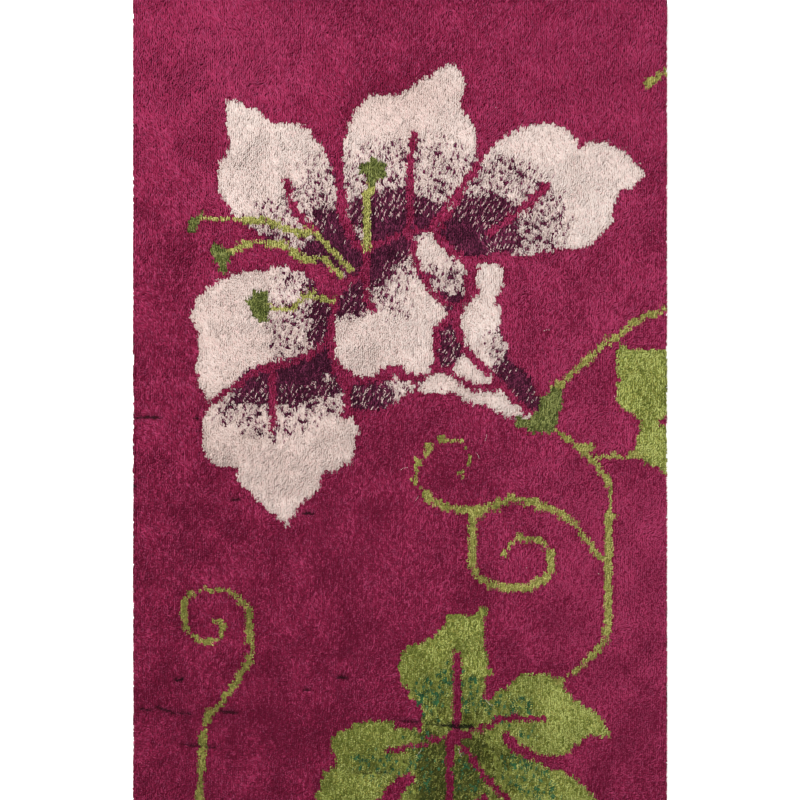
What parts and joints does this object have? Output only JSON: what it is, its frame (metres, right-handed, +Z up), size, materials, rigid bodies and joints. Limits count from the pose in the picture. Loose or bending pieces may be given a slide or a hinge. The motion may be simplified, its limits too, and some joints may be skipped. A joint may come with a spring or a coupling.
{
  "type": "cut length of hand-knotted pile rug",
  "caption": "Flat cut length of a deep cut-pile wool rug on a cotton foundation, with a knotted flower spray, vines and leaves.",
  "frame": {"origin": "middle of the flat underside", "axes": "+X across the rug, along the weft; +Y along the rug, along the warp; +Z up, out of the pile"},
  "size_m": [0.4658, 0.7004, 0.013],
  "materials": {
    "pile_raspberry": "deep cut wool pile, matt with a soft sheen where it leans",
    "pile_blush": "deep cut wool pile, undyed cream gone pinkish",
    "pile_plum": "deep cut wool pile, dark and matt",
    "pile_leaf": "deep cut wool pile, yellowish olive",
    "pile_vine": "deep cut wool pile, light yellow-green",
    "pile_teal": "deep cut wool pile, dark blue-green",
    "foundation": "unbleached cotton warp and weft, matt"
  },
  "bodies": {
    "root": {"rug": "pile_raspberry"}
  },
  "joints": []
}
